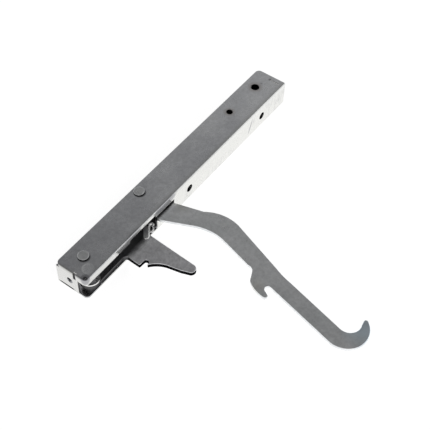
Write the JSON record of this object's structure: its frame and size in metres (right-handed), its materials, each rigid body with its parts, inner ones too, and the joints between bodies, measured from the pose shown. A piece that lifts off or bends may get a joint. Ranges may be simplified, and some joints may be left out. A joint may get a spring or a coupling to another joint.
{
  "type": "oven door hinge",
  "caption": "Oven door hinge: folded steel channel case with a notched pivot lever and a long curved hook arm that swing out of its open front.",
  "frame": {"origin": "midway between the two screw holes of the front web, on the web's outer face, at half the case height", "axes": "+X along the case away from the lever pivot, -Y out of the front web to the side the arm and lever leave, +Z square to the upper cheek with the rivet heads"},
  "size_m": [0.2, 0.1629, 0.019],
  "materials": {
    "case_zinc": "zinc plated sheet, dull sheen",
    "arm_zinc": "zinc plated plate, cool sheen",
    "lever_zinc": "zinc plated plate, dull",
    "rivet_steel": "plated steel, satin",
    "wire_steel": "bright drawn wire",
    "spring_steel": "oiled spring wire"
  },
  "bodies": {
    "case_body": {"case": "case_zinc", "arm_rivet": "rivet_steel", "arm_spacer_upper": "rivet_steel", "arm_spacer_lower": "rivet_steel", "lever_pin": "rivet_steel", "pin_washer": "wire_steel", "lever_spacer_upper": "rivet_steel", "lever_spacer_lower": "rivet_steel", "stop_rivet": "rivet_steel", "stop_sleeve": "rivet_steel", "main_spring": "spring_steel", "spring_anchor": "rivet_steel"},
    "arm_body": {"hook_arm": "arm_zinc"},
    "lever_body": {"pivot_lever": "lever_zinc", "lock_clip": "wire_steel"}
  },
  "joints": [
    {"name": "lever_pivot", "type": "hinge", "parent": "case_body", "child": "lever_body", "pos_m": [-0.12575, 0.0045, 0], "axis": [0, 0, 1], "range_deg": [-90, 0]},
    {"name": "arm_pivot", "type": "hinge", "parent": "case_body", "child": "arm_body", "pos_m": [-0.06585, 0.0175, 0], "axis": [0, 0, 1], "range_deg": [-36, 0], "stiffness_Nm_per_rad": 0.7, "springref_deg": 51.57, "deforming": ["main_spring"]}
  ],
  "couplings": [
    {"joint": "arm_pivot", "follows": "lever_pivot", "ratio": 0.4}
  ]
}
